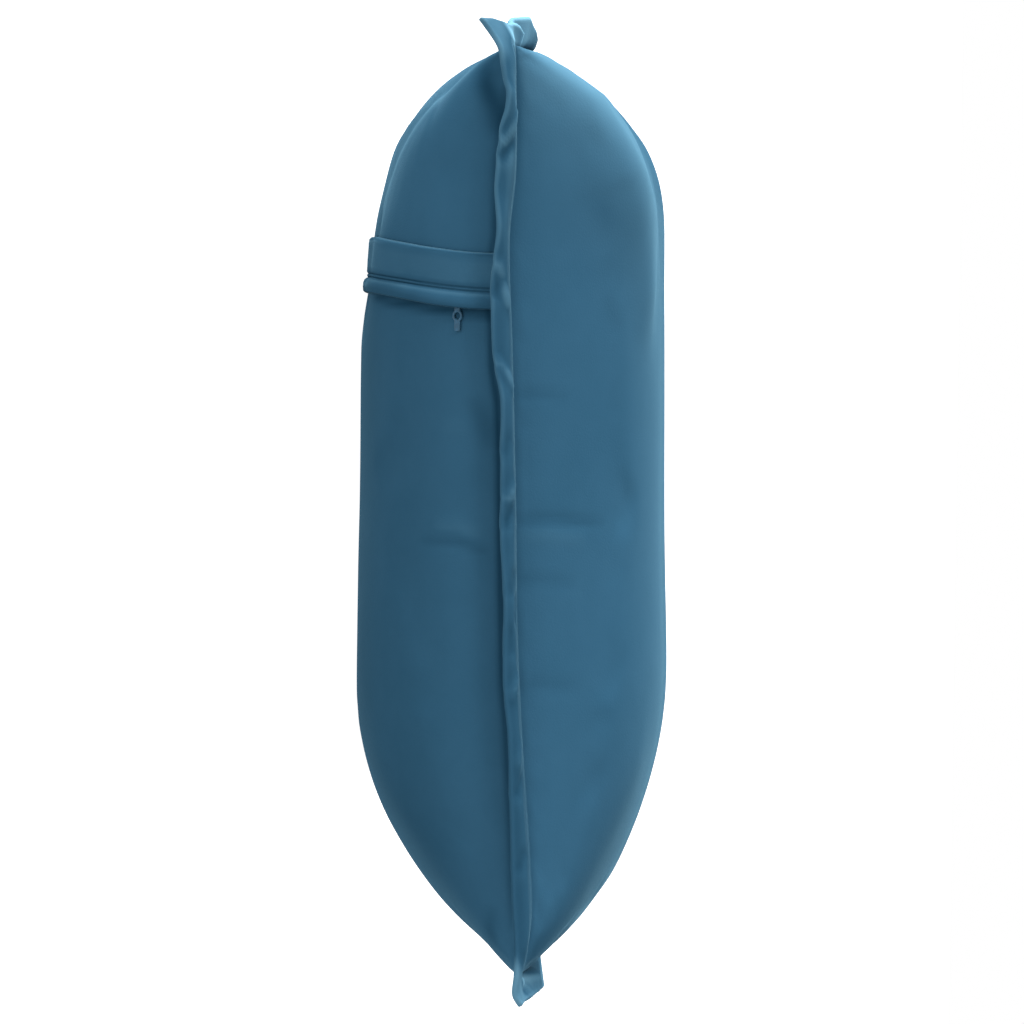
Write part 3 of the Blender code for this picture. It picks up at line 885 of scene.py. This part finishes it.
def press_folds(piece, shift):
    """Press the folds of the table into the cloth, each only where it is seen from its side, and
    lay down their painted light and shade.
    """
    points, outward = points_of(piece), normals_of(piece)
    room = np.clip(seam_distance(points, shift) / FOLD_ROOM, 0, 1)
    lift, marks = np.zeros(len(points)), np.zeros(len(points))
    for view, fold in [(view, Fold(*row)) for view in FOLDS for row in FOLDS[view]]:
        axes, towards = VIEWS[view]
        gap, place = along_line(points[:, axes] / MM, fold.line)
        near = ease(*FOLD_FACING, outward @ np.array(towards, float))
        near *= np.exp(-((gap / fold.half_width) ** 2))
        if fold.ends == "soft":
            near *= np.sin(np.pi * place) ** SOFT_POWER
        elif fold.ends == "last":
            near *= 1 - ease(*LAST_FADE, place)
        lift += fold.height * MM * near * (room if view in ("front", "back") else 1.0)
        marks += fold.mark * near
    set_points(piece, points + outward * lift[:, None])
    paint_light_and_shade(piece, np.clip(marks, -1, 1))


def build_cover(settings, finish):
    """The filled cover: two crowned panels that meet in a pinched seam."""
    shift = plan_shift()
    piece = cover_grid(settings)
    fill_cover(piece, settings, shift)
    piece.vertex_groups.clear()
    rounding = piece.modifiers.new("rounding", "SUBSURF")
    rounding.levels = rounding.render_levels = 1
    apply_modifiers(piece)
    press_folds(piece, shift)
    points = points_of(piece)
    points[:, 2] = np.maximum(points[:, 2], 0.0)
    set_points(piece, points)
    named(piece, "filled_cover", velvet("velvet panels", finish), "cushion")


# Flange
def edge_waves(side):
    """Places, drops and draws of a side's free edge, from the tip of one ear to the other."""
    run = SIDES[side].run
    first, last = EARS[SIDES[side].first], EARS[SIDES[side].last]
    rows = [(first[run], first.drop), *FREE_EDGES[side], (last[run], last.drop)]
    return zip(*(Wave(*row) for row in rows))


def side_stations(side, count):
    """Steps from -1 to 1 along a side, closer near its ears, and the stitch line at each."""
    even = np.arange(count) / count * 2 - 1
    step = STATION_SHARES[0] * even + STATION_SHARES[1] * np.sin(math.pi * even / 2)
    step = step * SIDES[side].way
    edge = np.full(count, SIDES[side].outward)
    across, along = (edge, step) if side in ("near", "far") else (step, edge)
    x, y = seam_place(across, along)
    return step, np.column_stack([x, y, seam_height(across, y)])


def curled(width, drops, shares):
    """Reach and share of the drop across the flange, for each drop: nearly straight, then curled.

    A drop to the back curls near the free edge; a rise to the front bends at the root.
    """
    size = np.abs(drops)
    first = np.arcsin(ROOT_LEAN * np.minimum(size / width, 1))
    steepest = first + (np.radians(STEEPEST_CURL) - first) * (1 - np.exp(-size / EASY_DROP))
    left = size - width * np.sin(first)
    sharper = np.maximum(np.sin(steepest) - np.sin(first), LEAST_CURL)
    bend = np.maximum(width - left / sharper, 0.0)
    arc = np.linspace(0, width, CURL_STEPS)
    curl = ease(bend[:, None] - CURL_REACH, bend[:, None] + CURL_REACH, arc)
    lean = first[:, None] + (steepest - first)[:, None] * curl
    rising = drops < 0
    lean[rising] = lean[rising, ::-1]
    step = arc[1] * np.ones_like(lean)
    step[:, 0] = 0
    reach, fall = np.cumsum(np.cos(lean) * step, axis=1), np.cumsum(np.sin(lean) * step, axis=1)
    place = shares * width
    reach = np.array([np.interp(place, arc, row) for row in reach])
    fall = np.array([np.interp(place, arc, row) for row in fall / np.maximum(fall[:, -1:], 1e-6)])
    return reach + np.minimum(place, 0), fall


def puckered(side, along, out):
    """Height of the puckers of one side at places of the flat flange."""
    plan = np.column_stack([along.ravel(), out.ravel()])
    height = np.zeros(len(plan))
    for line, rise, half_width in PUCKERS.get(side, ()):
        gap, _ = along_line(plan, line)
        height += rise * np.exp(-((gap / half_width) ** 2))
    return height.reshape(along.shape) * ease(*PUCKER_ROOM, out)


def bent_ear(line):
    """Share of the drop across an ear that bends over a line square to its diagonal."""
    bend = np.maximum(past_corner(line) + EAR_BEND_START, 0) ** EAR_BEND_POWER
    bend -= bend[:, :1]
    return bend / np.maximum(bend[:, -1:], EAR_LEAST_BEND)


def soften_ears(line, count, shares):
    """Round the fold along each ear's diagonal, leaving its root and its free edge."""
    station = np.arange(len(line))
    apart = np.abs((station + count / 2) % count - count / 2)
    weight = np.exp(-((apart / EAR_SOFTNESS) ** 2))[:, None]
    weight = (weight * (1 - (2 * np.clip(shares, 0, 1) - 1) ** 4))[:, :, None]
    for _ in range(EAR_SOFT_ROUNDS):
        even = (np.roll(line, 1, axis=0) + 2 * line + np.roll(line, -1, axis=0)) / 4
        line = line + (even - line) * weight
    return line


def side_sections(side, count, width, shares):
    """Middle of the flange at each station of one side, from stitch line to free edge."""
    first, last, run, away, outward, _ = SIDES[side]
    step, root = side_stations(side, count)
    t = (step[:, None] + 1) / 2
    tip_line = np.array(EARS[first][:2]) * (1 - t) + np.array(EARS[last][:2]) * t
    place = tip_line[:, run]
    places, drops, drawn = edge_waves(side)
    drop = follow(places, drops, place)
    reach, fall = curled(width, drop, shares)
    flat = ease(*EAR_FLATNESS[side], np.abs(step))[:, None]
    reach += (reach[:, -1:] * shares - reach) * flat
    fall += (shares - fall) * flat
    tip_share = (np.abs(step) ** EAR_POINTEDNESS)[:, None]
    to_tip = np.abs(tip_line[:, away] - root[:, away])[:, None] * shares
    reach += (to_tip - reach) * tip_share
    reach -= follow(places, drawn, place)[:, None] * shares
    line = root[:, None, :] + np.zeros((count, len(shares), 3))
    line[:, :, run] += (place - root[:, run])[:, None] * shares
    line[:, :, away] += outward * reach
    bend = ease(*EAR_BEND_REACH, np.abs(step))[:, None]
    fall += (bent_ear(line) - fall) * bend
    line[:, :, 2] -= drop[:, None] * fall
    return line, puckered(side, line[:, :, run], shares * width + np.zeros((count, 1)))


def flange_painted_light(section, out):
    """Painted highlights on the ears, the lobes and the root, and painted light along the sides
    that darkens towards the bottom.
    """
    x, y = section[..., 0], section[..., 1]
    tops = y > 0

    def by_end(values):
        """The value of the end, top or bottom, that each point lies in."""
        return np.where(tops, values["top"], values["bottom"])

    past = past_corner(section)
    at_ear = ease(*EAR_PALE_REACH, past)
    at_root = 1 - ease(*LOBE_ROOT_REACH, out)
    lobe = ease(*LOBE_REACH, past)
    lobe *= ease(*LOBE_START, np.where(tops, y - SEAM_TOP, SEAM_BOTTOM - y))
    paleness = by_end(LOBE_PALENESS) * (1 - at_root) + by_end(LOBE_ROOT_PALENESS) * at_root
    lobe *= ease(*LOBE_SIDE, x) * paleness * (x < 0)
    root = (1 - ease(*ROOT_PALE_REACH, out)) * ROOT_PALENESS
    tone = np.interp(y, *zip(*BAND_PAINTED_LIGHT)) * (1 - at_ear)
    return np.maximum(np.maximum(at_ear * by_end(EAR_PALENESS), lobe), root) + tone


def section_directions(line):
    """Directions along each section of the flange and up from it."""
    along = unit(np.gradient(line, axis=1))
    ring = np.roll(line, -1, axis=0) - np.roll(line, 1, axis=0)
    up = unit(np.cross(ring, along))
    return along, up * np.sign(up[:, :, 2:3])


def thickened(line, shares, width, thickness):
    """Sections of the flange all round its middle line, and how far out each point lies."""
    along, up = section_directions(line)
    groove = 1 - STITCH_PULL * np.exp(-(((shares * width - STITCH_OUT) / STITCH_SPREAD) ** 2))
    half = thickness / 2 * groove
    upper = line + up * half[None, :, None]
    lower = line - up * half[None, :, None]
    turns = np.radians(EDGE_TURNS)[None, :, None]
    turn = line[:, -1:] + (along[:, -1:] * np.cos(turns) + up[:, -1:] * np.sin(turns)) * half[-1]
    section = np.concatenate([upper, turn, lower[:, ::-1]], axis=1)
    out = np.concatenate([shares, np.ones(len(EDGE_TURNS)), shares[::-1]])
    return section, np.abs(out) * width


def build_flange(settings, finish):
    """The doubled margin of both panels, sewn round the cover and curling to the back."""
    width = settings.width / MM
    shares = np.array(FLANGE_SHARES)
    lines, lifts = zip(
        *(side_sections(side, settings.stations, width, shares) for side in SIDES)
    )
    line = soften_ears(np.concatenate(lines), settings.stations, shares)
    _, up = section_directions(line)
    line = line + up * np.concatenate(lifts)[:, :, None]
    section, out = thickened(line, shares, width, settings.thickness / MM)
    marks = flange_painted_light(section, out)
    piece = closed_sheet(section * MM + np.array(plan_shift()), True, marks)
    paint_relief_light(piece)
    # A darker copy of the velvet, as painted shade on the flange
    cloth = velvet("velvet flange", finish, FLANGE_PAINTED_SHADE)
    named(piece, "seam_flange", cloth, "flange")


# Flap over the zip
def flap_columns(tree, end_gap):
    """Places from -1 to 1 across the panel, as far as the flap's ends, and the panel's heights."""
    height = FLAP_ROWS[FLAP_OUTER_ROWS // 2].side
    half, _, _ = seam_lines(0, height / SEAM_HALF_WIDTH)
    places, heights = profile_of(tree, 1, (1, height), 0, (-half, half))
    inside = seam_height(places / half, height) - heights > end_gap
    places, heights = places[inside], heights[inside]
    columns = crowded((places, heights), FLAP_COLUMNS, FLAP_CELLS)
    columns *= (places[-1] - places[0]) / 2 / half
    return columns, np.interp(columns * half, places, heights)


def flap_seats(tree, across, sag):
    """Places on the cover under the flap's columns and rows, and the directions out from them."""
    shift = plan_shift()
    seats = np.empty((len(across), len(FLAP_ROWS), 3))
    normals = np.empty_like(seats)
    for i, a in enumerate(across):
        for j, row in enumerate(FLAP_ROWS):
            y = row.middle + (row.side - row.middle) * sag[i]
            along = (y - SEAM_BOTTOM) / (SEAM_TOP - SEAM_BOTTOM) * 2 - 1
            x, _ = seam_place(a, along)
            start = Vector((x * MM, y * MM, -1)) + shift
            seats[i, j], normals[i, j], _, _ = tree.ray_cast(start, Vector((0, 0, 1)))
    for _ in range(FLAP_EVEN_ROUNDS):
        normals[1:-1] = (normals[:-2] + 2 * normals[1:-1] + normals[2:]) / 4
    return seats, unit(normals)


def build_flap(settings, finish, cover):
    """The folded flap: an upper fold, a band, a twin row of stitches and a free lip."""
    tree = BVHTree.FromObject(cover, bpy.context.evaluated_depsgraph_get())
    across, heights = flap_columns(tree, settings.end_gap / MM)
    sag = np.sin(np.clip(heights / heights.max(), 0, 1) * math.pi / 2) ** FLAP_SAG_POWER
    seats, normals = flap_seats(tree, across, sag)
    _, _, stand_off, lifted, marks = np.array(FLAP_ROWS).T
    lift = stand_off + np.outer(LIP_LIFT * ease(*LIP_LIFT_HEIGHTS, heights), lifted)
    points = seats + normals * lift[:, :, None] * MM
    points[:, :, 2] = np.maximum(points[:, :, 2], 0.0)
    piece = closed_sheet(points, False, np.tile(marks, (len(across), 1)))
    paint_relief_light(piece)
    named(piece, "zip_cover", velvet("velvet flap", finish), "zip_flap")


# Zip puller
def add_plate(low, high, width):
    """A flat bar of the puller from low to high along its length."""
    bpy.ops.mesh.primitive_cube_add(size=1)
    plate = bpy.context.object
    size = np.array([width, high - low, PLATE_THICKNESS])
    set_points(plate, (points_of(plate) * size + [0, (low + high) / 2, 0]) * MM)
    edge = plate.modifiers.new("edge", "BEVEL")
    edge.width = PLATE_ROUNDING * MM
    edge.segments = 3
    apply_modifiers(plate)
    return plate


def puller_body():
    """The puller lying flat: a ring between a short stem and a head, made one piece."""
    clear_selection()
    bpy.ops.mesh.primitive_torus_add(
        major_segments=40, minor_segments=12,
        major_radius=RING_RADIUS * MM, minor_radius=RING_WIRE * MM,
    )
    ring = bpy.context.object
    stem = add_plate(STEM_END, -RING_RADIUS, STEM_WIDTH)
    head = add_plate(RING_RADIUS, HEAD_END, STEM_WIDTH)
    clear_selection()
    for part in (stem, head, ring):
        part.select_set(True)
    bpy.context.view_layer.objects.active = ring
    bpy.ops.object.join()
    grain = ring.modifiers.new("one piece", "REMESH")
    grain.mode = "VOXEL"
    grain.voxel_size = PULLER_GRAIN * MM
    polish = ring.modifiers.new("polish", "SMOOTH")
    polish.factor = 0.5
    polish.iterations = 4
    apply_modifiers(ring)
    return ring


def build_puller(finish, cover):
    """The puller, resting on the panel under the flap's lip."""
    piece = puller_body()
    tree = BVHTree.FromObject(cover, bpy.context.evaluated_depsgraph_get())
    seat, out, _, _ = tree.find_nearest(Vector(PULLER_PLACE) * MM + plan_shift())
    along = (Vector((0, 1, 0)) - out * out.y).normalized()
    turned = points_of(piece) @ np.array([along.cross(out), along, out])
    set_points(piece, turned + np.array(seat + out * (PLATE_THICKNESS / 2 + PULLER_GAP) * MM))
    named(piece, "puller_plate", enamel("puller enamel", finish), "zip_puller")


# Stage
def add_to_scene(name, data):
    """A new object in the scene that shows the given data."""
    piece = bpy.data.objects.new(name, data)
    bpy.context.scene.collection.objects.link(piece)
    return piece


def build_camera():
    """Camera at the photograph's angle, turned on its side because the cushion lies down."""
    e, roll = CAMERA_ELEVATION, CAMERA_ROLL
    back = Vector((-math.cos(e), 0, math.sin(e)))
    level = Vector((math.sin(e), 0, math.cos(e)))
    right = level * math.cos(roll) + Vector((0, 1, 0)) * math.sin(roll)
    up = Vector((0, 1, 0)) * math.cos(roll) - level * math.sin(roll)
    data = bpy.data.cameras.new("camera")
    data.sensor_width = 36.0
    data.lens = CAMERA_DISTANCE * data.sensor_width / (PHOTO_SIDE * PIXEL * MM)
    data.clip_end = 200.0
    camera = add_to_scene("camera", data)
    turn = Matrix((right, up, back)).transposed().to_4x4()
    camera.matrix_world = Matrix.Translation(CAMERA_TARGET + back * CAMERA_DISTANCE) @ turn
    bpy.context.scene.camera = camera


def build_lamp(name, strength, angle, source):
    """A soft distant light that comes from the given direction."""
    data = bpy.data.lights.new(name, "SUN")
    data.energy = strength
    data.angle = math.radians(angle)
    lamp = add_to_scene(name, data)
    lamp.rotation_euler = Vector(source).to_track_quat("Z", "Y").to_euler()


def build_stage(settings):
    """Pale floor, even ambient light, three soft lamps and the camera."""
    clear_selection()
    bpy.ops.mesh.primitive_plane_add(size=300)
    floor = bpy.context.object
    floor.name = "floor"
    paint = bpy.data.materials.new("pale floor")
    paint.use_nodes = True
    shader = paint.node_tree.nodes["Principled BSDF"]
    shader.inputs["Base Color"].default_value = (*settings.floor, 1.0)
    shader.inputs["Roughness"].default_value = 0.9
    shader.inputs["Specular IOR Level"].default_value = 0.1
    shader.inputs["Emission Color"].default_value = (1, 1, 1, 1)
    shader.inputs["Emission Strength"].default_value = settings.under_light
    floor.data.materials.append(paint)

    world = bpy.data.worlds.new("studio")
    world.use_nodes = True
    background = world.node_tree.nodes["Background"]
    background.inputs["Color"].default_value = (1, 1, 1, 1)
    background.inputs["Strength"].default_value = settings.ambient
    bpy.context.scene.world = world

    for name, (angle, source) in LAMPS.items():
        build_lamp(name, getattr(settings, name), angle, source)
    bpy.context.scene.view_settings.view_transform = "Standard"
    build_camera()


# Operators, in the order in which the cushion is made
class CUSHION_OT_cover(bpy.types.Operator):
    """Make the filled cover"""

    bl_idname = "cushion.cover"
    bl_label = "Filled cover"

    def execute(self, context):
        build_cover(context.scene.cushion_cover, context.scene.cushion_finish)
        return {"FINISHED"}


class CUSHION_OT_flange(bpy.types.Operator):
    """Make the flange with its ears"""

    bl_idname = "cushion.flange"
    bl_label = "Flange"

    def execute(self, context):
        build_flange(context.scene.cushion_flange, context.scene.cushion_finish)
        return {"FINISHED"}


class CUSHION_OT_flap(bpy.types.Operator):
    """Make the flap over the zip"""

    bl_idname = "cushion.flap"
    bl_label = "Zip flap"

    def execute(self, context):
        cover = bpy.data.objects["filled_cover"]
        build_flap(context.scene.cushion_flap, context.scene.cushion_finish, cover)
        return {"FINISHED"}


class CUSHION_OT_puller(bpy.types.Operator):
    """Make the zip's puller"""

    bl_idname = "cushion.puller"
    bl_label = "Zip puller"

    def execute(self, context):
        build_puller(context.scene.cushion_finish, bpy.data.objects["filled_cover"])
        return {"FINISHED"}


class CUSHION_OT_stage(bpy.types.Operator):
    """Make the floor, the light and the camera"""

    bl_idname = "cushion.stage"
    bl_label = "Stage"

    def execute(self, context):
        build_stage(context.scene.cushion_stage)
        return {"FINISHED"}


class CUSHION_PT_panel(bpy.types.Panel):
    """Sizes, colours and pieces of the cushion"""

    bl_idname = "CUSHION_PT_panel"
    bl_label = "Back cushion"
    bl_space_type = "VIEW_3D"
    bl_region_type = "UI"
    bl_category = "Cushion"

    def draw(self, context):
        for group in GROUPS:
            settings = getattr(context.scene, group)
            for name in settings.bl_rna.properties.keys():
                if name not in ("rna_type", "name"):
                    self.layout.prop(settings, name)
        for operator in OPERATORS:
            self.layout.operator(operator.bl_idname)


GROUPS = {
    "cushion_cover": CoverSettings,
    "cushion_flange": FlangeSettings,
    "cushion_flap": FlapSettings,
    "cushion_finish": FinishSettings,
    "cushion_stage": StageSettings,
}
OPERATORS = (
    CUSHION_OT_cover,
    CUSHION_OT_flange,
    CUSHION_OT_flap,
    CUSHION_OT_puller,
    CUSHION_OT_stage,
)


def register():
    """Add the settings, the operators and the panel."""
    for name, group in GROUPS.items():
        bpy.utils.register_class(group)
        setattr(bpy.types.Scene, name, PointerProperty(type=group))
    for operator in OPERATORS:
        bpy.utils.register_class(operator)
    bpy.utils.register_class(CUSHION_PT_panel)


def unregister():
    """Take the panel, the operators and the settings away."""
    bpy.utils.unregister_class(CUSHION_PT_panel)
    for operator in reversed(OPERATORS):
        bpy.utils.unregister_class(operator)
    for name, group in reversed(GROUPS.items()):
        delattr(bpy.types.Scene, name)
        bpy.utils.unregister_class(group)


def main():
    """Make the cushion and its stage."""
    register()
    bpy.ops.cushion.cover()
    bpy.ops.cushion.flange()
    bpy.ops.cushion.flap()
    bpy.ops.cushion.puller()
    bpy.ops.cushion.stage()


if __name__ == "__main__":
    main()
